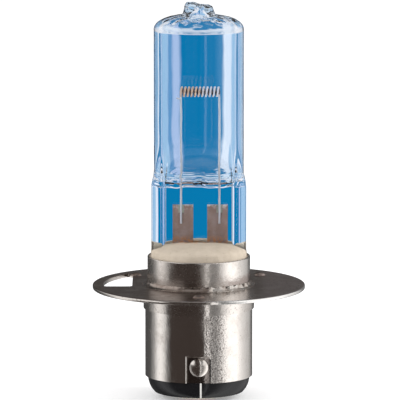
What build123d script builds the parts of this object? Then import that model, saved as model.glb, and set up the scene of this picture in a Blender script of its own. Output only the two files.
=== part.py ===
"""Halogen headlight bulb: a quartz capsule with a transverse filament, cemented into a bayonet
cap shell that is soldered into a prefocus flange with a slotted sleeve.

Millimetres. The origin is on the lamp axis, in the flange's upper reference face. +Z points to the
glass, +X along the filament, and -Y to the front, where one bayonet pin shows in its slot.
"""

from build123d import *
import math
import os

os.makedirs("parts", exist_ok=True)

# ---- Driving dimensions ------------------------------------------------------------------------

# Cap shell: the thin plated tube that holds the capsule, and its two bayonet pins
shell_diameter = 14.5
shell_wall = 0.3
shell_rise = 4.1  # rim above the flange face
shell_depth = 12.95  # foot below the flange face
shell_rim_rounding = 0.14
pin_height = 2.3  # pin axis above the shell's foot
pin_head_radius = 1.3
pin_shank_radius = 0.8
pin_projection = 0.95  # head above the shell's outside
pin_tail_radius = 1.05
pin_tail_depth = 0.22
pin_dome = 0.5

# Outer sleeve: slides over the shell while the lamp is focused, then is soldered
sleeve_wall = 0.3
sleeve_clearance = 0.03
slot_width = 3.36
slot_headroom = 1.35  # slot's top above the pin axis
slot_corner = 0.35

# Prefocus flange: disc, drawn neck, window and three pips
flange_diameter = 30.0
flange_thickness = 0.55
flange_edge_rounding = 0.14
neck_depth = 3.3
neck_wall = 0.22
neck_clearance = 0.02
neck_flare = 0.5  # how much wider the neck is where it leaves the disc
neck_flare_depth = 1.5
window_rim = 1.5  # metal left outside the window
window_land = 1.4  # metal between the rolled edge and the straight inner side
window_front = -2.1  # straight front side
window_corner = 0.5
pip_radius = 0.85
pip_rise = 0.42
pip_circle = 11.7
pip_angles = (140.0, 42.0, 270.0)
neck_bend = 0.72  # radial width of the rolled edge where the disc turns down to the hole
neck_bend_depth = 0.4
solder_rise = 0.75  # solder up the shell's side
solder_hollow = 0.95  # radius of the solder's hollow face

# Capsule: tube, dome, exhaust tip and flattened pinch, one piece of quartz glass
tube_diameter = 12.66
tube_wall = 1.05
capsule_height = 39.95  # top of the exhaust tip above the flange face
tip_length = 1.72
tip_radius = 2.08
tip_rounding = 0.45
tip_bead_radius = 0.42
tip_bead_place = 1.25
dome_height = 1.98
dome_width = 3.93  # radial width of the rounded shoulder
crown_wall = 1.0
funnel_radius = 0.42  # the drawn-in hole under the exhaust tip
funnel_mouth = 1.5
funnel_depth = 0.85  # solid glass left above it
pinch_side_gap = 0.25  # pinch to the shell's bore, each side
pinch_depth = 4.4
pinch_corner = 1.6
pinch_rail = 1.55
web_depth = 3.0
pinch_top = 13.8
pinch_foot = 0.8
shoulder_rise = 2.4  # from the pinch's top to the round tube
bulb_floor = 1.1  # glass between the pinch's top and the cavity
cavity_corner = 2.4

# Filament: a single coil of tungsten wire across the axis
light_centre = 27.4
coil_length = 5.4
coil_turns = 10.5
coil_diameter = 1.5
coil_wire = 0.28
mount_shift = 0.2  # the mount sits a little to one side of the axis
tail_length = 0.7
joint_bead = 0.165  # wire swelling where the coil turns into its tail

# Leads and foils
lead_diameter = 0.3
lead_joggle = 1.1
lead_overlap = 2.7  # lead lying on its foil
hook_length = 0.62  # stub at the top of the left lead, left from bending it round the tail
hook_radius = 0.12
hook_turn = -75.0
foil_width = 2.9
foil_thickness = 0.05
foil_top = 11.4
foil_foot = 2.4
foil_inset = 0.27  # foil centre inwards of its lead
tab_width = 0.8
tab_height = 1.15
tab_thickness = 0.04
outer_lead_diameter = 0.6
outer_lead_overlap = 2.0
outer_lead_drop = 2.4  # below the cement
weld_bite = 0.04  # how far a lead is flattened where it is welded

# Cement
cement_foot = -2.0
cement_shrinkage = 0.18  # gap that opens between the dried cement and the shell's rim
cement_meniscus = 0.15  # how far below the rim that gap reaches
cement_shoulder = 4.75
cement_crown = 6.15
cement_crown_radius = 2.5

# Wires in the cap
wire_diameter = 0.5
wire_run = 0.9  # straight below the outer lead
wire_centred_above = 1.6  # above the insulator, where the live wire is back on the axis
wire_bend = 1.2
wire_sleeve_wall = 0.35
wire_sleeve_clearance = 0.03
shell_wire_drop = 2.2
shell_wire_bend = 0.9
shell_bead_radius = 0.55

# Base insulator and centre contact
insulator_entry = 1.15  # inside the shell
insulator_drop = 2.3  # below the shell's foot
insulator_foot_radius = 6.3
insulator_step = 0.06
insulator_rounding = 1.1
contact_radius = 2.6
contact_thickness = 0.45
contact_proud = 0.12
contact_eyelet_radius = 0.9
solder_dome_radius = 1.7
solder_dome_rise = 0.75

# ---- Sizes that follow from them ---------------------------------------------------------------

shell_radius = shell_diameter / 2
shell_bore = shell_radius - shell_wall
shell_foot = -shell_depth
pin_z = shell_foot + pin_height
sleeve_bore = shell_radius + sleeve_clearance
sleeve_radius = sleeve_bore + sleeve_wall
neck_bore = sleeve_radius + neck_clearance
neck_radius = neck_bore + neck_wall
flange_radius = flange_diameter / 2
window_chord = sleeve_bore + neck_bend + window_land

tube_radius = tube_diameter / 2
tube_bore = tube_radius - tube_wall
pinch_width = 2 * (shell_bore - pinch_side_gap)
tube_foot = pinch_top + shoulder_rise
crown_z = capsule_height - tip_length
dome_foot = crown_z - dome_height
cavity_foot = pinch_top + bulb_floor
cavity_crown = crown_z - crown_wall

coil_radius = (coil_diameter - coil_wire) / 2
lead_radius = lead_diameter / 2
lead_x = {"left": mount_shift - coil_length / 2, "right": mount_shift + coil_length / 2}
tail_y = {"left": -coil_radius, "right": coil_radius}
inwards = {"left": 1, "right": -1}
foil_x = {side: lead_x[side] + inwards[side] * foil_inset for side in lead_x}
tab_face_y = -(foil_thickness / 2 + tab_thickness)
lead_y = tab_face_y - lead_radius + weld_bite
lead_top = light_centre - tail_length
lead_foot = foil_top - lead_overlap
outer_lead_radius = outer_lead_diameter / 2
outer_lead_y = foil_thickness / 2 + outer_lead_radius - weld_bite
outer_lead_top = foil_foot + outer_lead_overlap
outer_lead_foot = cement_foot - outer_lead_drop

wire_radius = wire_diameter / 2
insulator_top = shell_foot + insulator_entry
insulator_foot = shell_foot - insulator_drop
contact_face = insulator_foot - contact_proud

RISING = (Align.CENTER, Align.CENTER, Align.MIN)


# ---- Helpers -----------------------------------------------------------------------------------


def turned(*edges):
    """Solid of revolution about the lamp axis, from a closed half section of (radius, height)."""
    return revolve(Plane.XZ * make_face(Curve() + list(edges)), Axis.Z)


def rod(radius, low, high, x=0.0, y=0.0):
    """Upright round rod between two heights."""
    return Pos(x, y, low) * Cylinder(radius, high - low, align=RISING)


def tube(outer, inner, low, high):
    """Upright round tube between two heights."""
    return rod(outer, low, high) - rod(inner, low, high)


def plate(width, thickness, low, high, x, y):
    """Upright thin plate between two heights, its width along X."""
    return Pos(x, y, low) * Box(width, thickness, high - low, align=RISING)


def bent_wire(radius, route, bends, bore=0.0):
    """Round wire, or a tube if it has a bore, along straight runs joined by tangent arcs."""
    path = FilletPolyline(*route, radius=bends)
    start = Plane(origin=path @ 0, z_dir=path % 0)
    wire = sweep(start * Circle(radius), path=path)
    if bore:
        wire -= sweep(start * Circle(bore), path=path)
    return wire


def bulb_outline(radius, foot, shoulder_foot, crown, width):
    """Closed half section of a tube whose top closes in a rounded shoulder and a flat crown."""
    flat = max(radius - width, 0.0)
    return [
        Line((0, foot), (radius, foot)),
        Line((radius, foot), (radius, shoulder_foot)),
        EllipticalCenterArc((flat, shoulder_foot), radius - flat, crown - shoulder_foot),
        Line((flat, crown), (0, crown)),
        Line((0, crown), (0, foot)),
    ]


# ---- Filament mount ----------------------------------------------------------------------------


def make_filament_coil():
    """Left-handed coil along X whose ends turn down into straight tails, front and rear."""
    pitch = coil_length / coil_turns
    spiral = Helix(pitch, coil_length, coil_radius, lefthand=True)
    start = Plane(origin=spiral @ 0, z_dir=spiral % 0)
    coil = sweep(start * Circle(coil_wire / 2), path=spiral)
    coil = Pos(lead_x["left"], 0, light_centre) * Rot(-90, 0, 0) * Rot(0, 90, 0) * coil
    for side in lead_x:
        x, y = lead_x[side], tail_y[side]
        coil += Pos(x, y, light_centre) * Sphere(joint_bead)
        coil += rod(coil_wire / 2, lead_top, light_centre, x, y)
    return coil


def make_inner_lead(side):
    """Lead from the foil up through the glass, then a joggle across to the coil's tail."""
    x = lead_x[side]
    route = [
        (x, lead_y, lead_foot),
        (x, lead_y, lead_top - 2 * lead_joggle),
        (x, tail_y[side], lead_top - lead_joggle),
        (x, tail_y[side], lead_top),
    ]
    lead = bent_wire(lead_radius, route, lead_joggle / 3)
    lead -= plate(lead_diameter, weld_bite, lead_foot, foil_top, x, tab_face_y + weld_bite / 2)
    if side == "left":
        hook_z = lead_top - 2 * lead_radius
        hook = Rot(0, hook_turn, 0) * rod(hook_radius, 0, hook_length)
        lead += Pos(x, tail_y[side], hook_z) * hook
    return lead


def make_foil(side):
    """Thin sealing foil of molybdenum, edge on to the front."""
    return plate(foil_width, foil_thickness, foil_foot, foil_top, foil_x[side], 0)


def make_weld_tab(side):
    """Small tab between the lead and its foil, where the two are welded."""
    y = -(foil_thickness + tab_thickness) / 2
    return plate(tab_width, tab_thickness, foil_top - tab_height, foil_top, lead_x[side], y)


def make_outer_lead(side):
    """Thick lead from the back of the foil down out of the pinch and the cement."""
    lead = rod(outer_lead_radius, outer_lead_foot, outer_lead_top, foil_x[side], outer_lead_y)
    flat_y = (foil_thickness - weld_bite) / 2
    return lead - plate(
        outer_lead_diameter, weld_bite, foil_foot, outer_lead_top, foil_x[side], flat_y
    )


# ---- Capsule -----------------------------------------------------------------------------------


def make_pinch():
    """Flattened seal: two round-cornered rails with a thinner web between them."""
    block = extrude(
        Pos(0, 0, pinch_foot) * RectangleRounded(pinch_width, pinch_depth, pinch_corner),
        pinch_top - pinch_foot,
    )
    groove_depth = (pinch_depth - web_depth) / 2
    groove_width = pinch_width - 2 * pinch_rail
    for way in (-1, 1):
        y = way * (web_depth + groove_depth) / 2
        block -= plate(groove_width, groove_depth, pinch_foot, pinch_top - groove_depth, 0, y)
    return block


def make_glass_outside():
    """Outer shape of the quartz capsule."""
    bulb = turned(*bulb_outline(tube_radius, tube_foot, dome_foot, crown_z, dome_width))
    tip = turned(
        Line((0, crown_z - crown_wall / 2), (tip_radius, crown_z - crown_wall / 2)),
        Line((tip_radius, crown_z - crown_wall / 2), (tip_radius, capsule_height - tip_rounding)),
        RadiusArc(
            (tip_radius, capsule_height - tip_rounding),
            (tip_radius - tip_rounding, capsule_height),
            -tip_rounding,
        ),
        Line((tip_radius - tip_rounding, capsule_height), (0, capsule_height)),
        Line((0, capsule_height), (0, crown_z - crown_wall / 2)),
    )
    bead_z = capsule_height - tip_bead_radius * 0.6
    bead = Pos(-tip_bead_place, 0, bead_z) * Rot(90, 0, 0) * Sphere(tip_bead_radius)
    shoulder = loft(
        [
            Pos(0, 0, pinch_top) * RectangleRounded(pinch_width, pinch_depth, pinch_corner),
            Pos(0, 0, tube_foot) * Circle(tube_radius),
        ]
    )
    return bulb + tip + bead + shoulder + make_pinch()


def make_cavity():
    """Gas space: round-bottomed, domed, with a small funnel drawn up into the exhaust tip."""
    inner_dome = dome_foot + (cavity_crown - dome_foot) * 0.05
    space = turned(
        *bulb_outline(tube_bore, cavity_foot, inner_dome, cavity_crown, dome_width)
    )
    floor_edges = space.edges().filter_by(GeomType.CIRCLE).group_by(Axis.Z)[0]
    space = fillet(floor_edges, min(cavity_corner, tube_bore * 0.6))
    funnel_top = capsule_height - funnel_depth
    space += turned(
        Line((0, cavity_crown - crown_wall / 2), (funnel_mouth, cavity_crown - crown_wall / 2)),
        Line((funnel_mouth, cavity_crown - crown_wall / 2), (funnel_radius, funnel_top)),
        Line((funnel_radius, funnel_top), (0, funnel_top)),
        Line((0, funnel_top), (0, cavity_crown - crown_wall / 2)),
    )
    return space


def make_glass_capsule(sealed_in):
    """Quartz envelope with its gas space and the exact room that the sealed metal takes."""
    glass = make_glass_outside() - make_cavity()
    for piece in sealed_in:
        glass -= piece
    return glass


# ---- Cap ---------------------------------------------------------------------------------------


def make_cement(glass_outside, outer_leads):
    """Ceramic cement that fills the shell round the pinch and domes up over its rim."""
    rim_radius = shell_bore - cement_shrinkage
    rim_foot = shell_rise - cement_meniscus
    flat = cement_crown_radius
    cement = turned(
        Line((0, cement_foot), (shell_bore, cement_foot)),
        Line((shell_bore, cement_foot), (shell_bore, rim_foot)),
        Line((shell_bore, rim_foot), (rim_radius, rim_foot)),
        Line((rim_radius, rim_foot), (rim_radius, cement_shoulder)),
        EllipticalCenterArc(
            (flat, cement_shoulder), rim_radius - flat, cement_crown - cement_shoulder
        ),
        Line((flat, cement_crown), (0, cement_crown)),
        Line((0, cement_crown), (0, cement_foot)),
    )
    cement -= glass_outside
    for lead in outer_leads:
        cement -= lead
    return cement


def across(solid, side):
    """Turns a solid built up along Z to point outwards at the front or the rear, at pin height."""
    return Pos(0, 0, pin_z) * Rot({"front": 90, "rear": -90}[side], 0, 0) * solid


def make_cap_shell():
    """Plated tube with a rounded rim and a hole for each bayonet pin."""
    shell = tube(shell_radius, shell_bore, shell_foot, shell_rise)
    rim = shell.edges().filter_by(GeomType.CIRCLE).group_by(Axis.Z)[-1]
    shell = fillet(rim, shell_rim_rounding)
    for side in ("front", "rear"):
        shell -= across(rod(pin_shank_radius, 0, shell_radius * 1.2), side)
    return shell


def make_bayonet_pin(side, shell):
    """Riveted pin: shank through the shell, domed head outside, flattened tail inside."""
    head_top = shell_radius + pin_projection
    tail_foot = shell_bore - pin_tail_depth
    ball = (pin_head_radius**2 + pin_dome**2) / (2 * pin_dome)
    blank = turned(
        Line((0, tail_foot), (pin_tail_radius, tail_foot)),
        Line((pin_tail_radius, tail_foot), (pin_tail_radius, shell_bore)),
        Line((pin_tail_radius, shell_bore), (pin_head_radius, shell_bore)),
        Line((pin_head_radius, shell_bore), (pin_head_radius, head_top - pin_dome)),
        RadiusArc((pin_head_radius, head_top - pin_dome), (0, head_top), -ball),
        Line((0, head_top), (0, tail_foot)),
    )
    return across(blank, side) - shell


def make_outer_sleeve():
    """Sleeve under the flange, slotted from its foot to clear the two pins."""
    sleeve = tube(sleeve_radius, sleeve_bore, shell_foot, -flange_thickness)
    slot_height = pin_height + slot_headroom
    slot = RectangleRounded(slot_width, 2 * slot_height, slot_corner)
    for side in ("front", "rear"):
        way = {"front": -1, "rear": 1}[side]
        profile = Pos(0, way * shell_bore, shell_foot) * Rot(90, 0, 0) * slot
        sleeve -= extrude(profile, amount=sleeve_radius, dir=(0, way, 0))
    return sleeve


def make_focus_flange():
    """Stamped disc with a drawn neck, a D-shaped window near its edge and three pips."""
    neck_top = neck_radius + neck_flare
    flare_foot = -flange_thickness - neck_flare_depth
    hole = sleeve_bore
    bend_radius = hole + neck_bend
    flange = turned(
        Line((bend_radius, 0), (flange_radius, 0)),
        Line((flange_radius, 0), (flange_radius, -flange_thickness)),
        Line((flange_radius, -flange_thickness), (neck_top, -flange_thickness)),
        EllipticalCenterArc((neck_top, flare_foot), neck_flare, neck_flare_depth, 90),
        Line((neck_radius, flare_foot), (neck_radius, -neck_depth)),
        Line((neck_radius, -neck_depth), (neck_bore, -neck_depth)),
        Line((neck_bore, -neck_depth), (neck_bore, -flange_thickness)),
        Line((neck_bore, -flange_thickness), (hole, -flange_thickness)),
        Line((hole, -flange_thickness), (hole, -neck_bend_depth)),
        rolled_edge(),
    )
    edge = flange.edges().filter_by(GeomType.CIRCLE).filter_by(
        lambda e: abs(e.radius - flange_radius) < 0.01
    )
    flange = fillet(edge, flange_edge_rounding)
    window_reach = flange_radius - window_rim
    window = Circle(window_reach) & (
        Pos(-window_chord, window_front)
        * Rectangle(2 * flange_radius, 2 * flange_radius, align=(Align.MAX, Align.MIN))
    )
    window = fillet(window.vertices(), window_corner)
    flange -= extrude(Pos(0, 0, -2 * flange_thickness) * window, 3 * flange_thickness)
    ball = (pip_radius**2 + pip_rise**2) / (2 * pip_rise)
    for angle in pip_angles:
        place = Rot(0, 0, angle) * Pos(pip_circle, 0, pip_rise - ball)
        flange += place * Sphere(ball) & rod(flange_radius, -flange_thickness / 2, pip_rise)
        flange -= place * Pos(0, 0, -flange_thickness) * Sphere(ball)
    return flange


def rolled_edge():
    """Quarter ellipse over which the disc's face turns down into its hole."""
    centre = (sleeve_bore + neck_bend, -neck_bend_depth)
    return EllipticalCenterArc(centre, neck_bend, neck_bend_depth, 90)


def make_solder_fillet():
    """Ring of solder that fills the groove between the shell and the disc's rolled edge."""
    foot = (sleeve_bore + neck_bend, 0)
    top = (shell_radius, solder_rise)
    return turned(
        Line((shell_radius, -neck_bend_depth), (sleeve_bore, -neck_bend_depth)),
        rolled_edge(),
        RadiusArc(foot, top, solder_hollow),
        Line(top, (shell_radius, -neck_bend_depth)),
    )


# ---- Base and wiring ---------------------------------------------------------------------------


def live_route():
    """Route of the live wire: down from the left lead, across to the axis, through the base."""
    x, y = foil_x["left"], outer_lead_y
    centred = insulator_top + wire_centred_above
    return [
        (x, y, outer_lead_foot),
        (x, y, outer_lead_foot - wire_run),
        (0, 0, centred),
        (0, 0, contact_face),
    ]


def make_live_wire():
    """Live wire to the centre contact."""
    return bent_wire(wire_radius, live_route(), wire_bend)


def make_wire_sleeve():
    """Woven glass sleeve over the live wire, from under the cement to the insulator."""
    start, turn, centred, _ = live_route()
    bore = wire_radius + wire_sleeve_clearance
    route = [start, turn, centred, (0, 0, insulator_top)]
    return bent_wire(bore + wire_sleeve_wall, route, wire_bend, bore)


def make_shell_wire():
    """Return wire from the right lead across to the shell's bore."""
    x, y = foil_x["right"], outer_lead_y
    low = outer_lead_foot - shell_wire_drop
    route = [(x, y, outer_lead_foot), (x, y, low), (shell_bore - shell_bead_radius / 2, y, low)]
    return bent_wire(wire_radius, route, shell_wire_bend)


def make_shell_weld():
    """Weld bead that joins the return wire to the shell's bore."""
    low = outer_lead_foot - shell_wire_drop
    bead = Pos(shell_bore, outer_lead_y, low) * Sphere(shell_bead_radius)
    return (bead & rod(shell_bore, shell_foot, 0)) - make_shell_wire()


def make_base_insulator():
    """Black glass plug fused into the shell's foot, with a seat for the centre contact."""
    top_radius = shell_radius - insulator_step
    plug = turned(
        Line((0, insulator_top), (shell_bore, insulator_top)),
        Line((shell_bore, insulator_top), (shell_bore, shell_foot)),
        Line((shell_bore, shell_foot), (top_radius, shell_foot)),
        ThreePointArc(
            (top_radius, shell_foot),
            (
                (top_radius + insulator_foot_radius) / 2 + insulator_rounding * 0.2,
                (shell_foot + insulator_foot) / 2 - insulator_rounding * 0.1,
            ),
            (insulator_foot_radius, insulator_foot),
        ),
        Line((insulator_foot_radius, insulator_foot), (0, insulator_foot)),
        Line((0, insulator_foot), (0, insulator_top)),
    )
    return plug - make_contact_blank() - rod(wire_radius, insulator_foot, insulator_top)


def make_contact_blank():
    """Outer shape of the centre contact: a disc with an eyelet that reaches into the glass."""
    disc = rod(contact_radius, contact_face, contact_face + contact_thickness)
    return disc + rod(contact_eyelet_radius, contact_face, contact_face + 2.5 * contact_thickness)


def make_contact_plate():
    """Centre contact with a hole for the live wire."""
    return make_contact_blank() - rod(wire_radius, contact_face, 0)


def make_contact_solder():
    """Dome of solder on the centre contact, over the end of the live wire."""
    ball = (solder_dome_radius**2 + solder_dome_rise**2) / (2 * solder_dome_rise)
    ball_z = contact_face - solder_dome_rise + ball
    below = rod(2 * solder_dome_radius, contact_face - 2 * solder_dome_rise, contact_face)
    return Pos(0, 0, ball_z) * Sphere(ball) & below


# ---- The assembly ------------------------------------------------------------------------------

nodes = {"filament_coil": make_filament_coil()}
for side in ("left", "right"):
    nodes[f"inner_lead_{side}"] = make_inner_lead(side)
    nodes[f"sealing_foil_{side}"] = make_foil(side)
    nodes[f"weld_tab_{side}"] = make_weld_tab(side)
    nodes[f"outer_lead_{side}"] = make_outer_lead(side)

outer_leads = [nodes["outer_lead_left"], nodes["outer_lead_right"]]
sealed_in = [piece for name, piece in nodes.items() if name != "filament_coil"]
nodes["glass_capsule"] = make_glass_capsule(sealed_in)
nodes["ceramic_cement"] = make_cement(make_glass_outside(), outer_leads)
nodes["cap_shell"] = make_cap_shell()
for side in ("front", "rear"):
    nodes[f"bayonet_pin_{side}"] = make_bayonet_pin(side, nodes["cap_shell"])
nodes["outer_sleeve"] = make_outer_sleeve()
nodes["focus_flange"] = make_focus_flange()
nodes["solder_fillet"] = make_solder_fillet()
nodes["live_wire"] = make_live_wire()
nodes["wire_sleeve"] = make_wire_sleeve()
nodes["shell_wire"] = make_shell_wire()
nodes["shell_weld"] = make_shell_weld()
nodes["base_insulator"] = make_base_insulator()
nodes["contact_plate"] = make_contact_plate()
nodes["contact_solder"] = make_contact_solder()

for name, piece in nodes.items():
    export_step(piece, f"parts/{name}.step")
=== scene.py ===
"""Looks of a halogen headlight bulb: quartz capsule, cement, plated cap, prefocus flange and base.

The frame gives every part its place. The pieces made here stand for the parts whose real surface is
free-formed: the drawn and pinched glass, the cement, and the soldered joints.
"""

import math

import bpy
from bpy.props import FloatProperty, FloatVectorProperty, IntProperty, PointerProperty
from bpy.types import Operator, Panel, PropertyGroup
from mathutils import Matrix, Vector


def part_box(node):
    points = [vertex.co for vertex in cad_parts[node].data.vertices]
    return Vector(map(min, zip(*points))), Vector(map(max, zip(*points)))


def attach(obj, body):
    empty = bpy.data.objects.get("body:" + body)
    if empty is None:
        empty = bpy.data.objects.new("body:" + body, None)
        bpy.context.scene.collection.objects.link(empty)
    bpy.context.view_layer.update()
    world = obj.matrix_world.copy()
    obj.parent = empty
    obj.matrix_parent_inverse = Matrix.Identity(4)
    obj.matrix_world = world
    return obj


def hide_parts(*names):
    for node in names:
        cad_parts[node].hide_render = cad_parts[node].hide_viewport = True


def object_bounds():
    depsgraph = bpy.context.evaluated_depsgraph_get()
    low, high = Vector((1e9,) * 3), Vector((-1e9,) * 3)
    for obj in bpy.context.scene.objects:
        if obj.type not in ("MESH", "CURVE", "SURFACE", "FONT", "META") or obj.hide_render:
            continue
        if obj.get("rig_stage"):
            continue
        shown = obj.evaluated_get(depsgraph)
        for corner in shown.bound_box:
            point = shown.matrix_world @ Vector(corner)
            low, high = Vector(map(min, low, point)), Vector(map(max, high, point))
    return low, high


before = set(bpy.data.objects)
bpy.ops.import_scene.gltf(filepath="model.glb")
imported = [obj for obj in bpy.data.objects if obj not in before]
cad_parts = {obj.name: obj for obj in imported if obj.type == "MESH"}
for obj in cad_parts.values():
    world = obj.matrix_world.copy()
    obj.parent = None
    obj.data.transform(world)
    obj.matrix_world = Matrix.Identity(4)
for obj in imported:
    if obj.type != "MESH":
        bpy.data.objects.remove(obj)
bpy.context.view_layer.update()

bl_info = {
    "name": "Headlight Bulb Looks",
    "version": (1, 0, 0),
    "blender": (4, 5, 0),
    "location": "3D View > Sidebar > Bulb",
    "description": "Glass, cement, solder and metal finishes of a prefocus headlight bulb",
    "category": "Object",
}

MM = 0.001
BODY = "root"
QUARTER = math.pi / 2
FACETS = 24  # to a quarter turn of a large rounding


# ---- Sizes and colours -------------------------------------------------------------------------


def length(name, description, millimetres):
    return FloatProperty(
        name=name, description=description, default=millimetres * MM, unit="LENGTH", precision=5
    )


def tint(name, description, default):
    return FloatVectorProperty(
        name=name, description=description, default=default, subtype="COLOR", size=3, min=0, max=1
    )


class GlassSizes(PropertyGroup):
    wall: length("Tube wall", "Thickness of the round tube's wall", 1.05)
    pinch_top: length("Pinch top", "Height of the flat pinch's top above the flange", 13.8)
    press: length("Press length", "Height over which the tube is pressed flat", 6.7)
    rail: length("Rail", "Width of the thick rail down each side of the pinch", 1.55)
    rail_depth: length("Rail depth", "Thickness of the pinch's rails", 4.1)
    web_depth: length("Web depth", "Thickness of the pinch between its rails", 3.0)
    pinch_corner: length("Pinch corner", "Rounding of the pinch's long edges", 1.6)
    ripple: length("Press ripple", "Height of the ripples where the jaws let go", 0.12)
    floor: length("Floor", "Glass between the pinch's top and the bore", 0.5)
    crown_wall: length("Crown wall", "Thickness of the glass over the bore", 0.8)
    bore_swirl: length("Bore swirl", "Unevenness of the bore's ends", 0.45)
    dome_height: length("Dome height", "Height of the dome up to its crown", 1.98)
    shoulder: length("Shoulder", "How far the dome draws in from the tube's side", 3.93)
    tip_height: length("Tip height", "Height of the melted-off tip above the crown", 1.72)
    tip_radius: length("Tip radius", "Radius of the tip below its rounded top", 2.03)
    tip_rounding: length("Tip rounding", "Rounding of the tip's top edge", 0.6)
    tip_swirl: length("Tip swirl", "Unevenness of the melted-off tip", 0.16)
    bead_room: length("Bead room", "Height kept for the bead on the tip", 0.17)
    sides: IntProperty(name="Sides", description="Faces round the glass", default=160, min=16)
    colour: tint("Glass colour", "Tint of the quartz", (0.90, 0.955, 0.985))


class RoughSizes(PropertyGroup):
    cement_grain: length("Cement grain", "Height of the dried cement's grain", 0.05)
    cement_lump: length("Cement lumps", "Height of its trowelled lumps", 0.22)
    solder_lump: length("Solder lumps", "Height of the frozen solder's beads", 0.30)
    cement_colour: tint("Cement", "Colour of the dried cement", (0.54, 0.47, 0.385))
    solder_colour: tint("Solder", "Colour of clean solder", (0.60, 0.56, 0.52))


class MetalColours(PropertyGroup):
    nickel: tint("Nickel", "Bright nickel plate", (0.66, 0.62, 0.585))
    nickel_dull: tint("Dull nickel", "Handled and stained nickel", (0.42, 0.37, 0.33))
    flange: tint("Flange plate", "Plate on the focus flange", (0.60, 0.56, 0.525))
    flange_stain: tint("Flange stain", "Brown film on the flange", (0.19, 0.135, 0.11))
    tungsten_warm: tint("Aged tungsten", "Tan side of the coil", (0.92, 0.60, 0.40))
    tungsten_pale: tint("Clean tungsten", "Silver side of the coil", (0.96, 0.86, 0.86))
    foil: tint("Foil", "Etched foil in the pinch", (0.46, 0.32, 0.27))
    lead: tint("Lead wire", "Bright lead wire", (0.95, 0.90, 0.90))


class StudioSizes(PropertyGroup):
    lens: FloatProperty(name="Lens", description="Focal length in millimetres", default=511.0)
    distance: length("Distance", "Camera to the lamp's axis", 800)
    elevation: FloatProperty(
        name="Elevation", description="Camera above the horizon", default=math.radians(8.65),
        subtype="ANGLE",
    )
    aim: length("Aim", "Height of the middle of the view above the flange", 11.97)
    aside: length("Aside", "Middle of the view to the right of the axis", 0.17)
    floor_colour: tint("Floor", "Pale floor", (0.92, 0.92, 0.92))


PROPERTY_GROUPS = {
    "bulb_glass": GlassSizes,
    "bulb_rough": RoughSizes,
    "bulb_metal": MetalColours,
    "bulb_studio": StudioSizes,
}


# ---- Modelling helpers -------------------------------------------------------------------------


def put_down():
    """Back to object mode with nothing selected."""
    if bpy.context.mode != "OBJECT":
        bpy.ops.object.mode_set(mode="OBJECT")
    bpy.ops.object.select_all(action="DESELECT")


def pick_up(*pieces):
    """Selects these pieces, the first one active."""
    put_down()
    for piece in pieces:
        piece.select_set(True)
    bpy.context.view_layer.objects.active = pieces[0]


def apply_modifiers(piece):
    pick_up(piece)
    for modifier in list(piece.modifiers):
        bpy.ops.object.modifier_apply(modifier=modifier.name)


def turned(name, outline, sides):
    """A closed piece: a ring extruded and scaled along an outline of (radius, height)."""
    put_down()
    radius, height = outline[0]
    bpy.ops.mesh.primitive_circle_add(
        vertices=sides, radius=radius, location=(0, 0, height), fill_type="NGON"
    )
    piece = bpy.context.object
    piece.name = name
    piece.data.name = name
    bpy.ops.object.transform_apply(location=True, rotation=True, scale=True)
    bpy.ops.object.mode_set(mode="EDIT")
    bpy.ops.mesh.select_mode(type="EDGE")
    bpy.ops.mesh.select_all(action="SELECT")
    for (radius, height), (next_radius, next_height) in zip(outline, outline[1:]):
        bpy.ops.mesh.extrude_edges_move(
            TRANSFORM_OT_translate={"value": (0, 0, next_height - height)}
        )
        bpy.ops.transform.resize(
            value=(next_radius / radius, next_radius / radius, 1),
            center_override=(0, 0, next_height),
        )
    bpy.ops.mesh.edge_face_add()
    bpy.ops.mesh.select_all(action="SELECT")
    bpy.ops.mesh.normals_make_consistent(inside=False)
    bpy.ops.object.mode_set(mode="OBJECT")
    return piece


def lump(piece, strength, grain, group=None, depth=2):
    """Presses a clouded unevenness into a piece, along its normals."""
    clouds = bpy.data.textures.new(f"{piece.name}_lumps", "CLOUDS")
    clouds.noise_scale = grain
    clouds.noise_depth = depth
    displace = piece.modifiers.new("Lumps", "DISPLACE")
    displace.texture = clouds
    displace.strength = strength
    if group:
        displace.vertex_group = group
    apply_modifiers(piece)
    bpy.data.textures.remove(clouds)


def weigh(piece, name, weight_at):
    """A vertex group whose weight follows from each vertex's place."""
    group = piece.vertex_groups.new(name=name)
    for vertex in piece.data.vertices:
        group.add([vertex.index], min(max(weight_at(vertex.co), 0.0), 1.0), "REPLACE")
    return name


def smooth(piece):
    pick_up(piece)
    bpy.ops.object.shade_smooth()


def recast(name, node, voxel):
    """A merged and evenly remeshed copy of a part, ready to be roughened."""
    pick_up(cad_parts[node])
    bpy.ops.object.duplicate()
    piece = bpy.context.object
    piece.parent = None
    piece.name = name
    piece.data.name = name
    for key in [key for key in piece.keys() if key.startswith("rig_")]:
        del piece[key]
    bpy.ops.object.mode_set(mode="EDIT")
    bpy.ops.mesh.select_all(action="SELECT")
    bpy.ops.mesh.remove_doubles(threshold=0.002 * MM)
    bpy.ops.object.mode_set(mode="OBJECT")
    piece.data.remesh_voxel_size = voxel
    bpy.ops.object.voxel_remesh()
    return piece


def even_out(piece, passes):
    """Takes the steps out of a remeshed surface."""
    evening = piece.modifiers.new("Even", "SMOOTH")
    evening.iterations = passes
    apply_modifiers(piece)


def settle(piece, slot, coat, *nodes):
    """Gives a finished piece its body and finish, and hides the parts it stands for; its slot is
    not used.
    """
    piece.data.materials.clear()
    piece.data.materials.append(coat)
    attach(piece, BODY)
    if nodes:
        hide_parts(*nodes)


def dress(coat, *nodes):
    """Gives parts that stay as they are a finish of their own."""
    for node in nodes:
        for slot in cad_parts[node].material_slots:
            slot.material = coat


# ---- Shader helpers ----------------------------------------------------------------------------


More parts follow.
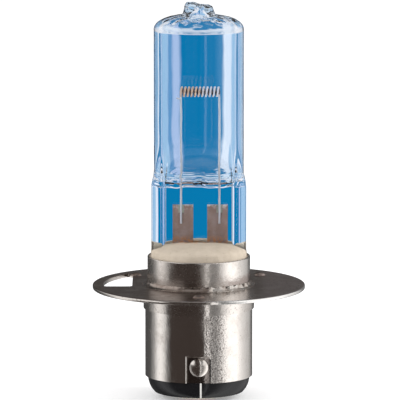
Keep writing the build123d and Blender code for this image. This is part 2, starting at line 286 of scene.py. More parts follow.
class Value:
    """A shader socket that can stand in a sum."""

    def __init__(self, board, socket):
        self.board = board
        self.socket = socket

    def maths(self, operation, first, second=0.0, clamp=False):
        return self.board.node(
            "Math", {"operation": operation, "use_clamp": clamp}, {0: first, 1: second}
        )

    def __add__(self, other):
        return self.maths("ADD", self, other)

    __radd__ = __add__

    def __mul__(self, other):
        return self.maths("MULTIPLY", self, other)

    __rmul__ = __mul__

    def __sub__(self, other):
        return self.maths("SUBTRACT", self, other)

    def __rsub__(self, other):
        return self.maths("SUBTRACT", other, self)

    def __truediv__(self, other):
        return self.maths("DIVIDE", self, other)

    def __pow__(self, other):
        return self.maths("POWER", self, other)

    def __abs__(self):
        return self.maths("ABSOLUTE", self)

    def __gt__(self, other):
        return self.maths("GREATER_THAN", self, other)

    def clamped(self):
        return self.maths("ADD", self, 0.0, clamp=True)


class Board:
    """Lays out the nodes of one material or world."""

    def __init__(self, owner):
        owner.use_nodes = True
        self.tree = owner.node_tree
        self.tree.nodes.clear()

    def node(self, kind, settings=None, values=None, output=0):
        """Adds a node: its settings first, then the values or links of its sockets."""
        made = self.tree.nodes.new("ShaderNode" + kind)
        for key, value in (settings or {}).items():
            if key == "stops":
                self.set_stops(made.color_ramp, value)
            else:
                setattr(made, key, value)
        for key, value in (values or {}).items():
            socket = made.inputs[key]
            if isinstance(value, Value):
                self.tree.links.new(value.socket, socket)
            elif socket.type == "RGBA":
                socket.default_value = (*value, 1)
            else:
                socket.default_value = value
        return Value(self, made.outputs[output]) if made.outputs else made

    @staticmethod
    def set_stops(ramp, stops):
        """Fills a ramp with (place, colour) stops; one number stands for a grey."""
        while len(ramp.elements) > 1:
            ramp.elements.remove(ramp.elements[-1])
        for number, (place, colour) in enumerate(stops):
            element = ramp.elements[0] if number == 0 else ramp.elements.new(place)
            element.position = place
            if not hasattr(colour, "__len__"):
                colour = (colour,) * 3
            element.color = (*colour, 1)

    def ramp(self, factor, stops):
        return self.node("ValToRGB", {"stops": stops}, {0: factor})

    def between(self, value, low, high):
        """0 at low and 1 at high, smooth in between."""
        return self.node(
            "MapRange",
            {"interpolation_type": "SMOOTHSTEP"},
            {"Value": value, "From Min": low, "From Max": high},
        )

    def mix(self, factor, first, second):
        """The first colour at 0 and the second at 1."""
        return self.node(
            "Mix",
            {"data_type": "RGBA", "clamp_factor": True},
            {0: factor, 6: first, 7: second},
            output=2,
        )

    def place(self):
        """Where a point is, in metres, in the part's own frame."""
        return self.node("TexCoord", output=3)

    def apart(self, vector):
        """The three numbers of a vector."""
        made = self.node("SeparateXYZ", values={0: vector}).socket.node
        return [Value(self, socket) for socket in made.outputs]

    def clouds(self, grain, detail=2.0, roughness=0.5, stretch=None):
        """Cloudy noise whose features are about grain metres across."""
        place = self.place()
        if stretch:
            place = self.node("Mapping", values={0: place, 3: stretch})
        return self.node(
            "TexNoise",
            {"normalize": True},
            {"Vector": place, "Scale": 1 / grain, "Detail": detail, "Roughness": roughness},
        )

    def cells(self, grain):
        """Distance from scattered points about grain metres apart, as a part of that grain."""
        return self.node("TexVoronoi", values={"Vector": self.place(), "Scale": 1 / grain})

    def bump(self, height, distance, normal=None):
        """Fine relief, distance metres high, on top of a coarser normal."""
        values = {"Height": height, "Distance": distance}
        if normal is not None:
            values["Normal"] = normal
        return self.node("Bump", values=values)


def finish(name, recipe):
    """A material whose recipe gives the sockets of one Principled shader."""
    material = bpy.data.materials.new(name)
    board = Board(material)
    shader = board.node("BsdfPrincipled", values=recipe(board))
    board.node("OutputMaterial", values={0: shader})
    return material


# ---- Finishes ----------------------------------------------------------------------------------


def quartz(board):
    sizes = bpy.context.scene.bulb_glass
    wave = board.clouds(2.5 * MM, detail=1.0, stretch=(1, 1, 0.5))
    return {
        "Base Color": sizes.colour,
        "Roughness": 0.0,
        "IOR": 1.46,
        "Transmission Weight": 1.0,
        "Normal": board.bump(wave, 0.02 * MM),
    }


def nickel(board):
    metal = bpy.context.scene.bulb_metal
    grime, painted_slot_shade, painted_pit_shade = (0.12, 0.10, 0.09), (0.10, 0.08, 0.07), (0.15, 0.12, 0.11)
    x, y, z = board.apart(board.place())
    stain = board.between(board.clouds(3.0 * MM, detail=4.0, roughness=0.65), 0.45, 0.75)
    speck = board.between(board.clouds(0.28 * MM, detail=3.0, roughness=0.7), 0.60, 0.70)
    dirt = board.between(board.cells(0.9 * MM), 0.10, 0.03)
    # Above the flange the shell took the heat of the soldering and dulled, least at the right
    heated = board.between(z, 0.2 * MM, 1.0 * MM)
    heated = heated * (1.0 - board.between(x, 2.5 * MM, 5.5 * MM) * 0.8)
    stain = (stain + heated * 0.5).clamped()
    colour = board.mix(stain * 0.45, metal.nickel, metal.nickel_dull)
    colour = board.mix(speck * 0.5, colour, metal.nickel_dull)
    colour = board.mix(dirt * 0.6, colour, grime)
    # Punching left a burr round the front slot's left and top edges
    half_slot, slot_top = 1.68 * MM, -9.30 * MM
    outside = board.node(
        "Math", {"operation": "MAXIMUM"}, {0: abs(x) - half_slot, 1: z - slot_top}
    )
    burr = board.between(outside, 0.20 * MM, 0.02 * MM) * board.between(y, -5.0 * MM, -6.0 * MM)
    burr = burr * board.between(x, half_slot, 0.9 * half_slot)
    # The shell that shows in the slot is darkened in colour, a painted shade in the recess, and the
    # sleeve in front of it isn't
    on_sleeve = board.between(y, -7.28 * MM, -7.32 * MM)
    slot_shade = board.between(outside, 0.02 * MM, -0.05 * MM) * (1.0 - on_sleeve)
    slot_shade = slot_shade * board.between(y, -6.0 * MM, -6.8 * MM)
    colour = board.mix(slot_shade * 0.8, colour, painted_slot_shade)
    # The sleeve is pitted at the front right, and its pits are darkened in colour: painted shade in
    # the hollows
    pits = board.clouds(0.22 * MM, detail=2.0)
    pitted = board.between(x, 0.9 * MM, 1.6 * MM) * board.between(x, 4.4 * MM, 3.0 * MM)
    pitted = pitted * board.between(y, 0.0, -3.0 * MM) * board.between(z, -1.0 * MM, -2.0 * MM)
    colour = board.mix(board.between(pits, 0.50, 0.36) * pitted * 0.7, colour, painted_pit_shade)
    wave = board.bump(board.clouds(1.6 * MM, detail=3.0, roughness=0.6), 0.03 * MM)
    pitting = board.bump(pits * (pitted * 0.85 + 0.15), 0.045 * MM, normal=wave)
    return {
        "Base Color": colour,
        "Metallic": 1.0,
        "Roughness": (0.11 + stain * 0.17 + speck * 0.12).clamped(),
        "Normal": board.bump(burr, 0.12 * MM, normal=pitting),
    }


def flange_plate(board):
    metal = bpy.context.scene.bulb_metal
    grime, brown_film, painted_rim_highlight = (0.10, 0.08, 0.07), (0.50, 0.41, 0.40), (0.88, 0.87, 0.85)
    x, y, z = board.apart(board.place())
    top = board.between(z, -0.10 * MM, -0.04 * MM)
    film = board.between(board.clouds(3.0 * MM, detail=6.0, roughness=0.7), 0.25, 0.60)
    film = top * (0.62 + film * 0.38) + film * 0.1
    # At the front right the film is thinned, leaving the plate lighter there: a painted highlight
    lit_front_right = board.between(x, 0.5 * MM, 2.5 * MM) * board.between(x, 8.5 * MM, 5.5 * MM)
    lit_front_right = lit_front_right * board.between(y, -3.0 * MM, -5.5 * MM)
    film = film * (1.0 - lit_front_right * 0.85)
    colour = board.mix(film * 0.9, metal.flange, metal.flange_stain)
    # Further right the film is browner and lighter
    brown = top * board.between(x, 8.0 * MM, 10.0 * MM)
    colour = board.mix(brown * 0.55, colour, brown_film)
    speck = board.between(board.clouds(0.35 * MM, detail=3.0, roughness=0.7), 0.56, 0.68)
    colour = board.mix(speck * 0.6, colour, grime)
    # Blanking rolled the rim's upper edge over; along its right half the rim is painted near-white,
    # a painted highlight
    rim_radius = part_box("focus_flange")[1].x
    across = (x * x + y * y) ** 0.5
    rim = board.between(across, rim_radius - 0.15 * MM, rim_radius - 0.05 * MM)
    colour = board.mix(rim * board.between(x, 1.0 * MM, 5.0 * MM) * 0.7, colour, painted_rim_highlight)
    roll = 0.45 * MM
    rolled = rim * (1.0 - ((z + roll) / roll) ** 2)
    wave = board.bump(board.clouds(1.4 * MM, detail=3.0, roughness=0.6), 0.03 * MM)
    grain = board.bump(board.clouds(0.3 * MM, detail=2.0), 0.006 * MM, normal=wave)
    return {
        "Base Color": colour,
        "Metallic": 1.0,
        "Roughness": (0.16 + film * 0.16 + speck * 0.15).clamped(),
        "Normal": board.bump(rolled, 0.14 * MM, normal=grain),
    }


def solder(board):
    rough = bpy.context.scene.bulb_rough
    dull_grey, flux_brown = (0.24, 0.19, 0.16), (0.22, 0.17, 0.145)
    x, y, z = board.apart(board.place())
    dross = board.between(board.clouds(1.0 * MM, detail=4.0, roughness=0.65), 0.40, 0.65)
    colour = board.mix(dross * 0.8, rough.solder_colour, dull_grey)
    # Round the flange the flux browned it, less so at the front right, where the beads are left
    # lighter: a painted highlight
    highlit_beads = board.between(x, 0.5 * MM, 2.5 * MM) * board.between(y, -2.0 * MM, -4.0 * MM)
    browned = board.between(z, -2 * MM, -1 * MM) * (1.0 - highlit_beads * 0.9)
    colour = board.mix(browned * 0.8, colour, flux_brown)
    frost = board.clouds(0.2 * MM, detail=2.0)
    return {
        "Base Color": colour,
        "Metallic": 1.0,
        "Roughness": (0.20 + dross * 0.2).clamped(),
        "Normal": board.bump(frost, 0.01 * MM),
    }


def cement(board):
    rough = bpy.context.scene.bulb_rough
    damp, painted_pit_shade, rust = (0.38, 0.32, 0.25), (0.28, 0.22, 0.17), (0.55, 0.25, 0.10)
    cloud = board.clouds(1.6 * MM, detail=4.0, roughness=0.7)
    grain = board.clouds(0.16 * MM, detail=3.0, roughness=0.7)
    pits = board.between(board.cells(0.55 * MM), 0.16, 0.05)
    colour = board.mix(cloud, damp, rough.cement_colour)
    # The pits are darker in colour: painted shade in the hollows
    colour = board.mix(pits * 0.6, colour, painted_pit_shade)
    # Rust from the foils has stained it where they run in
    x, y, _ = board.apart(board.place())
    near = board.between(abs(x), 4.2 * MM, 2.5 * MM) * board.between(abs(y), 3.4 * MM, 1.6 * MM)
    spots = board.between(board.clouds(1.1 * MM, detail=2.0), 0.50, 0.62)
    colour = board.mix(near * spots * 0.6, colour, rust)
    return {
        "Base Color": colour,
        "Roughness": (0.78 + grain * 0.15).clamped(),
        "Specular IOR Level": 0.35,
        "Normal": board.bump(grain - pits * 0.8, 0.09 * MM),
    }


def tungsten(board):
    metal = bpy.context.scene.bulb_metal
    painted_coil_shade = (0.16, 0.09, 0.06)
    x, y, z = board.apart(board.place())
    cloud = board.clouds(0.9 * MM, detail=3.0)
    warm = board.between(x + (cloud - 0.5) * (2.5 * MM), 1.2 * MM, -0.8 * MM)
    colour = board.mix(warm, metal.tungsten_pale, metal.tungsten_warm)
    # The inside of the coil, which lies along x, is painted dark: painted shade
    _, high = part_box("filament_coil")
    coil_radius = high.y
    up = z - (high.z - coil_radius)
    across = (y * y + up * up) ** 0.5
    inside = board.between(across, 0.88 * coil_radius, 0.78 * coil_radius)
    colour = board.mix(inside, colour, painted_coil_shade)
    draw = board.clouds(0.05 * MM, detail=2.0)
    return {
        "Base Color": colour,
        "Metallic": 0.5,
        "Roughness": (0.22 + cloud * 0.15).clamped(),
        "Normal": board.bump(draw, 0.004 * MM),
    }


def lead_wire(board):
    metal = bpy.context.scene.bulb_metal
    dull = (0.62, 0.56, 0.56)
    cloud = board.clouds(0.7 * MM, detail=3.0, stretch=(1, 1, 0.3))
    colour = board.mix(cloud * 0.5, metal.lead, dull)
    lines = board.clouds(0.08 * MM, detail=1.0, stretch=(1, 1, 0.1))
    return {
        "Base Color": colour,
        "Metallic": 0.5,
        "Roughness": (0.36 + cloud * 0.18).clamped(),
        "Normal": board.bump(lines, 0.001 * MM),
    }


def foil(board):
    metal = bpy.context.scene.bulb_metal
    etched, blotched = (0.24, 0.15, 0.12), (0.50, 0.38, 0.34)
    rust, painted_glint = (0.62, 0.24, 0.07), (0.95, 0.88, 0.85)
    _, _, z = board.apart(board.place())
    cloud = board.clouds(0.8 * MM, detail=4.0, roughness=0.65)
    blotch = board.between(board.clouds(1.7 * MM, detail=2.0), 0.45, 0.65)
    colour = board.mix(cloud, etched, metal.foil)
    colour = board.mix(blotch * 0.4, colour, blotched)
    # Rust creeps up out of the cement, and at the welded end near-white patches are painted glints
    rusted = board.between(z, 7.2 * MM, 6.2 * MM) * board.between(cloud, 0.42, 0.58)
    colour = board.mix(rusted * 0.8, colour, rust)
    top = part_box("sealing_foil_left")[1].z
    bright = board.between(z, top - 0.9 * MM, top) * board.between(cloud, 0.45, 0.6)
    colour = board.mix(bright * 0.7, colour, painted_glint)
    crease = board.clouds(0.5 * MM, detail=2.0, stretch=(1, 1, 2.0))
    return {
        "Base Color": colour,
        "Metallic": 0.25,
        "Roughness": (0.40 + cloud * 0.2).clamped(),
        "Normal": board.bump(crease, 0.04 * MM),
    }


def weld_metal(board):
    straw, tan = (0.86, 0.76, 0.52), (0.60, 0.48, 0.32)
    cloud = board.clouds(0.3 * MM, detail=3.0)
    colour = board.mix(cloud, straw, tan)
    return {
        "Base Color": colour,
        "Metallic": 0.8,
        "Roughness": (0.3 + cloud * 0.2).clamped(),
        "Normal": board.bump(cloud, 0.02 * MM),
    }


def black_glass(board):
    black, dusty, painted_glint_line = (0.008, 0.008, 0.009), (0.08, 0.07, 0.065), (0.75, 0.73, 0.70)
    cloud = board.clouds(1.5 * MM, detail=3.0)
    dust = board.between(board.clouds(0.12 * MM, detail=2.0, roughness=0.7), 0.62, 0.72)
    x, y, _ = board.apart(board.place())
    # A fine raised line runs down the front where the mould's two halves met; its pale colour is a
    # painted reflection
    seam_and_glint = board.between(abs(x - 0.28 * MM), 0.16 * MM, 0.08 * MM) * board.between(y, 0.0, -1 * MM)
    colour = board.mix(dust * 0.2, black, dusty)
    colour = board.mix(seam_and_glint * 0.9, colour, painted_glint_line)
    return {
        "Base Color": colour,
        "Roughness": (0.10 + cloud * 0.12 + dust * 0.2).clamped(),
        "Specular IOR Level": 0.22,
        "Normal": board.bump(seam_and_glint, 0.03 * MM, normal=board.bump(cloud, 0.04 * MM)),
    }


def brass(board):
    clean, tarnished = (0.78, 0.60, 0.30), (0.46, 0.33, 0.17)
    cloud = board.clouds(0.8 * MM, detail=4.0)
    colour = board.mix(cloud, clean, tarnished)
    return {
        "Base Color": colour,
        "Metallic": 1.0,
        "Roughness": (0.22 + cloud * 0.25).clamped(),
        "Normal": board.bump(board.clouds(0.2 * MM), 0.01 * MM),
    }


def copper(board):
    clean, tarnished = (0.86, 0.52, 0.36), (0.48, 0.26, 0.17)
    cloud = board.clouds(0.8 * MM, detail=3.0)
    colour = board.mix(cloud, clean, tarnished)
    lines = board.clouds(0.08 * MM, detail=1.0)
    return {
        "Base Color": colour,
        "Metallic": 1.0,
        "Roughness": (0.25 + cloud * 0.2).clamped(),
        "Normal": board.bump(lines, 0.004 * MM),
    }


def woven(board):
    """Braided glass-fibre sleeving: two sets of strands that wind opposite ways."""
    strands, pitch = 6, 0.9 * MM
    shadow, thread = (0.50, 0.45, 0.38), (0.86, 0.83, 0.76)
    x, y, z = board.apart(board.place())
    around = board.node("Math", {"operation": "ARCTAN2"}, {0: y, 1: x}) * (strands / math.tau)
    along = z * (1 / pitch)
    left = board.node("Math", {"operation": "SINE"}, {0: (along + around) * math.tau})
    right = board.node("Math", {"operation": "SINE"}, {0: (along - around) * math.tau})
    weave = abs(left) * 0.5 + abs(right) * 0.5
    return {
        "Base Color": board.mix(weave, shadow, thread),
        "Roughness": (0.9 - weave * 0.15).clamped(),
        "Normal": board.bump(weave, 0.08 * MM),
    }


def floor_paint(board):
    sizes = bpy.context.scene.bulb_studio
    grain = board.clouds(30 * MM, detail=3.0)
    pale = sizes.floor_colour
    return {
        "Base Color": board.mix(grain * 0.2, pale, tuple(0.97 * channel for channel in pale)),
        "Roughness": 0.7,
        "Emission Color": (1, 1, 1),
        "Emission Strength": 0.22,
    }


# ---- Pieces ------------------------------------------------------------------------------------


def ease(value, low, high):
    """0 at low and 1 at high, smooth in between."""
    t = min(max((value - low) / (high - low), 0.0), 1.0)
    return t * t * (3 - 2 * t)


def rise(outline, to, steps):
    """Carries an outline straight up to a height."""
    radius, start = outline[-1]
    outline.extend((radius, start + (to - start) * n / steps) for n in range(1, steps + 1))


def round_in(outline, inwards, up, steps):
    """Carries an outline from upright to level, round a quarter turn."""
    radius, start = outline[-1]
    for n in range(1, steps + 1):
        turn = QUARTER * n / steps
        outline.append((radius - inwards * (1 - math.cos(turn)), start + up * math.sin(turn)))


def pinch_outline(half_width, sizes):
    """A quarter of the pinch's cross-section, from its side over the rail to its middle."""
    half_depth, web = sizes.rail_depth / 2, sizes.web_depth / 2
    blend = 0.35 * MM  # how far the rail's inner slope runs on into the web
    points = [(half_width, 0.0)]
    rise(points, half_depth - sizes.pinch_corner, 5)
    round_in(points, sizes.pinch_corner, sizes.pinch_corner, FACETS)
    crest = points[-1][0]
    fall = sizes.rail - (half_width - crest) + blend
    for n in range(1, FACETS + 1):
        part = n / FACETS
        points.append((crest - fall * part, half_depth + (web - half_depth) * ease(part, 0, 1)))
    last = points[-1][0]
    points += [(last * (1 - n / FACETS), web) for n in range(1, FACETS + 1)]
    return points


def evenly(points, steps):
    """Points at equal distances along a line of points."""
    lengths = [0.0]
    for (x1, y1), (x2, y2) in zip(points, points[1:]):
        lengths.append(lengths[-1] + math.hypot(x2 - x1, y2 - y1))
    found = []
    place = 0
    for step in range(steps + 1):
        wanted = lengths[-1] * step / steps
        while place < len(points) - 2 and lengths[place + 1] < wanted:
            place += 1
        run = lengths[place + 1] - lengths[place]
        t = (wanted - lengths[place]) / run if run else 0.0
        (x1, y1), (x2, y2) = points[place], points[place + 1]
        found.append((x1 + (x2 - x1) * t, y1 + (y2 - y1) * t))
    return found


def pressed(z, sizes):
    """How far the tube at this height is from the flat pinch, 0, to the full round, 1."""
    return ease(z, sizes.pinch_top, sizes.pinch_top + sizes.press)


class BULB_OT_glass(Operator):
    """The quartz capsule: pinch, tube, dome and melted-off tip, with its bore"""

    bl_idname = "bulb.glass"
    bl_label = "Glass capsule"

    def execute(self, context):
        sizes = context.scene.bulb_glass
        low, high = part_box("glass_capsule")
        tip_top = high.z - sizes.bead_room
        crown = tip_top - sizes.tip_height
        skin = self.skin(sizes, low.z, high.y, crown)
        self.pinch(sizes, skin, high.x)
        self.tip(sizes, skin, crown)
        bore = self.bore(sizes, high.y, crown)
        pick_up(skin, bore)
        bpy.ops.object.join()
        smooth(skin)
        settle(skin, "quartz_glass", finish("quartz_glass", quartz), "glass_capsule")
        return {"FINISHED"}

    def skin(self, sizes, foot, radius, crown):
        """The outer surface, still round all the way down."""
        dome_foot = crown - sizes.dome_height
        tip_top = crown + sizes.tip_height
        outline = [(radius, foot)]
        # The rings stand closest where the ripples come
        for height, rings in (
            (sizes.pinch_top - 0.9 * MM, 16),
            (sizes.pinch_top + 3.6 * MM, 72),
            (sizes.pinch_top + sizes.press + 0.2 * MM, 22),
            (dome_foot, 16),
        ):
            rise(outline, height, rings)
        round_in(outline, sizes.shoulder, sizes.dome_height - 0.12 * MM, FACETS)
        # The neck flares out into the dome
        outline += [
            (neck * MM, crown + above * MM) for neck, above in (
                (2.46, 0.02), (2.30, 0.16), (2.19, 0.34), (2.12, 0.54), (2.08, 0.74), (2.05, 0.95),
            )
        ]
        outline.append((sizes.tip_radius, tip_top - sizes.tip_rounding))
        round_in(outline, sizes.tip_rounding, sizes.tip_rounding, 10)
        outline += [(ring * MM, tip_top) for ring in (1.2, 0.95, 0.7, 0.45, 0.2, 0.02)]
        return turned("capsule_glass", outline, sizes.sides)

    def pinch(self, sizes, skin, half_width):
        """Presses the tube's lower end flat between two rails, with the jaws' ripples."""
        steps = sizes.sides // 4
        outline = evenly(pinch_outline(half_width, sizes), steps)
        neck = 2.6 * MM  # height over which the wide pinch draws in to the tube
        # Each ripple's height above the pinch's top, width and strength, in millimetres
        ripples = ((0.45, 0.17, 1.0), (1.05, 0.15, -0.9), (1.65, 0.15, 1.0), (2.30, 0.17, -0.7))
        for vertex in skin.data.vertices:
            x, y, z = vertex.co
            if z > sizes.pinch_top + sizes.press:
                continue
            corner = min(round(math.atan2(abs(y), abs(x)) / QUARTER * steps), steps)
            side_x, side_y = math.copysign(1, x), math.copysign(1, y)
            flat_x, flat_y = outline[corner][0] * side_x, outline[corner][1] * side_y
            new_x = flat_x + (x - flat_x) * ease(z, sizes.pinch_top, sizes.pinch_top + neck)
            new_y = flat_y + (y - flat_y) * pressed(z, sizes)
            # The ripples sway up and down across the face, each face in its own way
            across = new_x / MM
            sway = 0.16 * math.sin(1.1 * across + side_y)
            sway += 0.07 * math.sin(2.9 * across + 2 * side_y)
            above = (z - sizes.pinch_top) / MM + sway
            wave = sum(
                strength * math.exp(-(((above - height) / width) ** 2))
                for height, width, strength in ripples
            )
            face = ease(abs(flat_y), 0.5 * MM, 1.3 * MM)
            vertex.co.x = new_x
            vertex.co.y = new_y + side_y * face * wave * sizes.ripple
        skin.data.update()

    def tip(self, sizes, skin, crown):
        """Makes the melted-off tip uneven, with a bead at the left and a slope to the right."""
        tip_top = crown + sizes.tip_height
        bead_x, bead_width, bead_height, drop = -1.55 * MM, 0.42 * MM, 0.14 * MM, 0.34 * MM
        for vertex in skin.data.vertices:
            x, y, z = vertex.co
            if z > crown + 0.2 * MM:
                lift = ease(z, crown + 0.3 * MM, tip_top)
                bead = math.exp(-((math.hypot(x - bead_x, 0.8 * y) / bead_width) ** 2))
                slope = ease(x, -0.9 * MM, 0.2 * MM)
                vertex.co.z += lift * (bead_height * bead - drop * slope)
        group = weigh(
            skin, "melted",
            lambda co: ease(co.z, crown - 1.5 * MM, crown + 0.1 * MM)
            * (1 - ease(co.z, tip_top - 0.15 * MM, tip_top + 0.1 * MM)),
        )
        lump(skin, sizes.tip_swirl, 0.75 * MM, group=group, depth=1)
        skin.vertex_groups.clear()

    def bore(self, sizes, radius, crown):
        """The hollow inside, up to the drawn-in hole under the tip, facing inwards."""
        inside = radius - sizes.wall
        floor = sizes.pinch_top + sizes.floor
        top = crown - sizes.crown_wall
        corner_width, corner_height = 0.9 * MM, 0.6 * MM
        dome_width, dome_height = 3.2 * MM, 1.6 * MM
        outline = [(ring * MM, floor) for ring in (0.02, 0.8, 1.6, 2.4, 3.2, 3.9)]
        steps = FACETS // 2
        for n in range(steps + 1):
            turn = QUARTER * n / steps
            outline.append((
                inside - corner_width * (1 - math.sin(turn)),
                floor + corner_height * (1 - math.cos(turn)),
            ))
        rise(outline, floor + sizes.press - 0.4 * MM, 30)
        rise(outline, top - dome_height, 18)
        round_in(outline, dome_width, dome_height, 16)
        # The hole narrows up into the tip
        outline += [
            (hole * MM, top + above * MM) for hole, above in (
                (1.75, 0.03), (1.45, 0.12), (1.15, 0.30), (0.90, 0.55), (0.70, 0.85),
                (0.55, 1.15), (0.45, 1.45), (0.36, 1.65), (0.20, 1.78), (0.02, 1.82),
            )
        ]
        bore = turned("capsule_bore", outline, sizes.sides)
        web = sizes.web_depth / 2
        for vertex in bore.data.vertices:
            half_depth = web + (radius - web) * pressed(vertex.co.z, sizes) - sizes.wall
            vertex.co.y *= half_depth / inside
        group = weigh(
            bore, "uneven",
            lambda co: ease(co.z, top - 0.9 * MM, top + 0.2 * MM)
            + 0.25 * (1 - ease(co.z, floor + 0.1 * MM, floor + 1.5 * MM)),
        )
        lump(bore, sizes.bore_swirl, 1.0 * MM, group=group, depth=1)
        bore.vertex_groups.clear()
        pick_up(bore)
        bpy.ops.object.mode_set(mode="EDIT")
        bpy.ops.mesh.select_all(action="SELECT")
        bpy.ops.mesh.flip_normals()
        bpy.ops.object.mode_set(mode="OBJECT")
        return bore


class BULB_OT_cement(Operator):
    """The cement round the pinch, lumpy and grained as it dried"""

    bl_idname = "bulb.cement"
    bl_label = "Cement"

    def execute(self, context):
        sizes = context.scene.bulb_rough
        piece = recast("cement_collar", "ceramic_cement", 0.17 * MM)
        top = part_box("ceramic_cement")[1].z
        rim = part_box("cap_shell")[1].z
        group = weigh(
            piece, "open",
            lambda co: ease(co.z, rim - 0.6 * MM, rim + 0.3 * MM)
            * (1 - 0.7 * ease(co.z, top - 0.3 * MM, top)),
        )
        lump(piece, sizes.cement_lump, 1.6 * MM, group=group, depth=1)
        lump(piece, sizes.cement_grain, 0.3 * MM, group=group, depth=2)
        piece.vertex_groups.clear()
        smooth(piece)
        settle(piece, "cement", finish("cement", cement), "ceramic_cement")
        return {"FINISHED"}


class BULB_OT_solder(Operator):
    """The frozen solder between shell and flange, and the dome on the centre contact"""

    bl_idname = "bulb.solder"
    bl_label = "Solder"

    def execute(self, context):
        sizes = context.scene.bulb_rough
        metal = finish("solder", solder)
        voxel = 0.08 * MM
        ring = recast("solder_ring", "solder_fillet", voxel)
        even_out(ring, 6)
        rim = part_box("solder_fillet")[1].x

        def molten(co):
            """The ring's open face, above all at the front right where the iron was lifted."""
            open_face = ease(co.z, 0.03 * MM, 0.15 * MM)
            open_face *= 1 - ease(math.hypot(co.x, co.y), rim - 0.2 * MM, rim)
            beaded = ease(co.x, 0.6 * MM, 2.0 * MM) * ease(-co.y, 2.0 * MM, 4.0 * MM)
            return open_face * (0.15 + 0.85 * beaded)

        lump(ring, sizes.solder_lump, 0.75 * MM, group=weigh(ring, "molten", molten), depth=0)
        ring.vertex_groups.clear()
        smooth(ring)
        settle(ring, "solder", metal, "solder_fillet")
        dome = recast("contact_dome", "contact_solder", voxel)
        even_out(dome, 4)
        smooth(dome)
        settle(dome, "solder", metal, "contact_solder")
        dress(metal, "shell_weld")
        return {"FINISHED"}


class BULB_OT_finishes(Operator):
    """Finishes of the parts whose shape stays as it is"""

    bl_idname = "bulb.finishes"
    bl_label = "Finishes"

    def execute(self, context):
        dress(finish("nickel_plate", nickel), "cap_shell", "outer_sleeve", "bayonet_pin_front",
              "bayonet_pin_rear")
        dress(finish("flange_plate", flange_plate), "focus_flange")
        dress(finish("tungsten_wire", tungsten), "filament_coil")
        dress(finish("lead_wire", lead_wire), "inner_lead_left", "inner_lead_right",
              "outer_lead_left", "outer_lead_right")
        dress(finish("sealing_foil", foil), "sealing_foil_left", "sealing_foil_right")
        dress(finish("weld_metal", weld_metal), "weld_tab_left", "weld_tab_right")
        dress(finish("black_glass", black_glass), "base_insulator")
        dress(finish("brass", brass), "contact_plate")
        dress(finish("copper_wire", copper), "live_wire", "shell_wire")
        dress(finish("woven_sleeve", woven), "wire_sleeve")
        return {"FINISHED"}


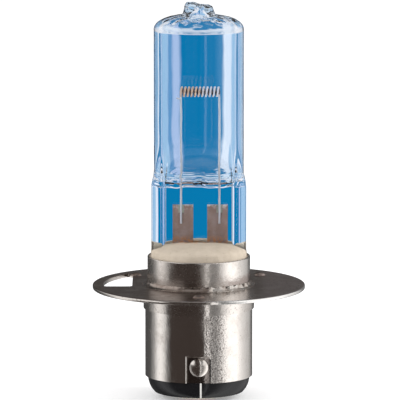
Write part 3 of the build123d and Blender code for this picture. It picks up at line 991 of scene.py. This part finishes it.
class BULB_OT_stage(Operator):
    """Pale floor, soft studio light and camera"""

    bl_idname = "bulb.stage"
    bl_label = "Studio"

    def execute(self, context):
        sizes = context.scene.bulb_studio
        self.floor()
        self.surround()
        self.lamps()
        put_down()
        back = Vector((0, -math.cos(sizes.elevation), math.sin(sizes.elevation)))
        aim = Vector((sizes.aside, 0, sizes.aim))
        bpy.ops.object.camera_add(
            location=aim + back * sizes.distance, rotation=(math.pi / 2 - sizes.elevation, 0, 0)
        )
        camera = context.object
        camera.name = "lamp_camera"
        camera.data.lens = sizes.lens
        camera.data.sensor_width = 36
        camera.data.clip_start = 0.01
        camera.data.clip_end = 20
        context.scene.camera = camera
        context.scene.view_settings.view_transform = "Standard"
        return {"FINISHED"}

    def floor(self):
        put_down()
        low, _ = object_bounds()
        bpy.ops.mesh.primitive_circle_add(
            vertices=96, radius=4.0, fill_type="NGON", location=(0, 0, low.z)
        )
        floor = bpy.context.object
        floor.name = "studio_floor"
        floor.visible_glossy = False
        floor.visible_transmission = False
        floor.data.materials.append(finish("floor_paint", floor_paint))
        floor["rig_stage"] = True

    def surround(self):
        """Soft room: pale to the eye, lit walls for the metal and blue screens for the glass."""
        to_the_eye, plain_light = (0.92, 0.92, 0.93), (1.75, 1.65, 1.6)
        world = bpy.data.worlds.new("studio")
        bpy.context.scene.world = world
        world.cycles.sampling_method = "NONE"
        board = Board(world)
        x, y, z = board.apart(board.node("TexCoord", output=0))
        # 0.5 points at the camera and 0.75 to its right; 0 and 1 meet behind the lamp
        turn = board.node("Math", {"operation": "ARCTAN2"}, {0: x, 1: y * -1.0})
        turn = turn * (1 / math.tau) + 0.5
        light_path = board.node("LightPath").socket.node
        mirrored = Value(board, light_path.outputs["Is Glossy Ray"])
        through_glass = Value(board, light_path.outputs["Is Transmission Ray"])
        # What stands inside the glass is lit by the room's plain light
        scattered = Value(board, light_path.outputs["Diffuse Depth"]) > 0.5
        screens = board.mix(scattered, self.screens(board, turn, y, z), plain_light)
        seen = board.mix(mirrored, to_the_eye, self.walls(board, turn, x, z))
        seen = board.mix(through_glass, seen, screens)
        background = board.node("Background", values={0: seen, 1: 1.0})
        board.node("OutputWorld", values={0: background})

    def walls(self, board, turn, x, z):
        """What the metal mirrors: a strip at the left, a slit in front, a softbox at the right."""
        shade, side_lights, overhead = (0.065, 0.052, 0.047), (1.3, 1.3, 1.3), (0.6, 0.6, 0.6)
        # Degrees to the right of the camera, and the light there
        lights = (
            (-180, 0.15), (-156, 0.08), (-128, 0.12), (-111, 0.5), (-100, 1.2), (-92, 1.35),
            (-83, 1.15), (-76, 0.7), (-70, 0.22), (-63, shade), (13, shade), (15, 1.8), (19, 1.8),
            (22, 0.24), (36, 0.3), (44, 0.45), (53, 1.0), (62, 1.45), (69, 1.8), (88, 1.8),
            (97, 1.45), (109, 1.08), (123, 0.84), (140, 0.6), (150, 0.2), (180, 0.15),
        )
        walls = board.ramp(turn, [(degrees / 360 + 0.5, light) for degrees, light in lights])
        beside = board.between(abs(x), 0.45, 0.70)
        walls = board.mix(board.between(z, 0.12, 0.30) * beside, walls, side_lights)
        return board.mix(board.between(z, 0.75, 0.95), walls, overhead)

    def screens(self, board, turn, y, z):
        """What shows through the glass: blue screens all round, with pale gaps between them."""
        blue, pale, milk = (0.0, 0.205, 0.45), (0.86, 0.90, 1.02), (0.32, 0.54, 0.78)
        lilac, steel = (0.50, 0.60, 0.86), (0.10, 0.30, 0.58)
        horizon, low_down, overhead = (0.92, 0.90, 0.95), (0.75, 0.84, 0.95), (0.12, 0.26, 0.44)
        count = 8
        part = board.node("Math", {"operation": "FRACT"}, {0: turn * count + 0.5})
        # Degrees right of a screen's middle, as the camera sees it behind the lamp, and the colour
        colours = (
            (22.5, milk), (16, milk), (13, pale), (7.2, pale), (5.6, blue), (-3.6, blue),
            (-4.6, lilac), (-7.2, lilac), (-8.6, steel), (-11, steel), (-13, milk), (-22.5, milk),
        )
        screens = board.ramp(
            part, [(0.5 - degrees * count / 360, colour) for degrees, colour in colours]
        )
        screens = board.mix(board.between(z, 0.05, 0.16), screens, horizon)
        # Behind the camera it is blue all over, so nothing pale shows in the glass's inner walls
        screens = board.mix(board.between(y, -0.30, -0.60) * 0.9, screens, blue)
        screens = board.mix(board.between(z, -0.30, -0.55), screens, low_down)
        return board.mix(board.between(z, 0.55, 0.85), screens, overhead)

    def lamps(self):
        """Two lamps, each turned some degrees to the camera's right, in metres and watts."""
        for name, turn, distance, height, width, tall, power in (
            ("softbox_right", 88, 0.34, 0.10, 0.12, 0.30, 1.5),
            ("strip_left", -72, 0.30, 0.115, 0.035, 0.28, 0.7),
        ):
            put_down()
            angle = math.radians(turn)
            spot = Vector((math.sin(angle) * distance, -math.cos(angle) * distance, height))
            bpy.ops.object.light_add(
                type="AREA", location=spot, rotation=(math.pi / 2, 0, angle)
            )
            lamp = bpy.context.object
            lamp.name = name
            lamp.data.shape = "RECTANGLE"
            lamp.data.size = width
            lamp.data.size_y = tall
            lamp.data.energy = power
            lamp.visible_camera = False
            lamp.visible_transmission = False
            lamp.visible_glossy = False


class BULB_PT_panel(Panel):
    """Lists the steps and what can be changed"""

    bl_label = "Headlight bulb"
    bl_idname = "BULB_PT_panel"
    bl_space_type = "VIEW_3D"
    bl_region_type = "UI"
    bl_category = "Bulb"

    def draw(self, context):
        for group in PROPERTY_GROUPS:
            settings = getattr(context.scene, group)
            box = self.layout.box()
            for name in settings.__annotations__:
                box.prop(settings, name)
        for step in STEPS:
            self.layout.operator(step.bl_idname)


STEPS = (BULB_OT_glass, BULB_OT_cement, BULB_OT_solder, BULB_OT_finishes, BULB_OT_stage)
CLASSES = (*PROPERTY_GROUPS.values(), *STEPS, BULB_PT_panel)


def register():
    for entry in CLASSES:
        bpy.utils.register_class(entry)
    for name, group in PROPERTY_GROUPS.items():
        setattr(bpy.types.Scene, name, PointerProperty(type=group))


def unregister():
    for name in PROPERTY_GROUPS:
        delattr(bpy.types.Scene, name)
    for entry in reversed(CLASSES):
        bpy.utils.unregister_class(entry)


def main():
    register()
    bpy.ops.bulb.glass()
    bpy.ops.bulb.cement()
    bpy.ops.bulb.solder()
    bpy.ops.bulb.finishes()
    bpy.ops.bulb.stage()
    put_down()


if __name__ == "__main__":
    main()
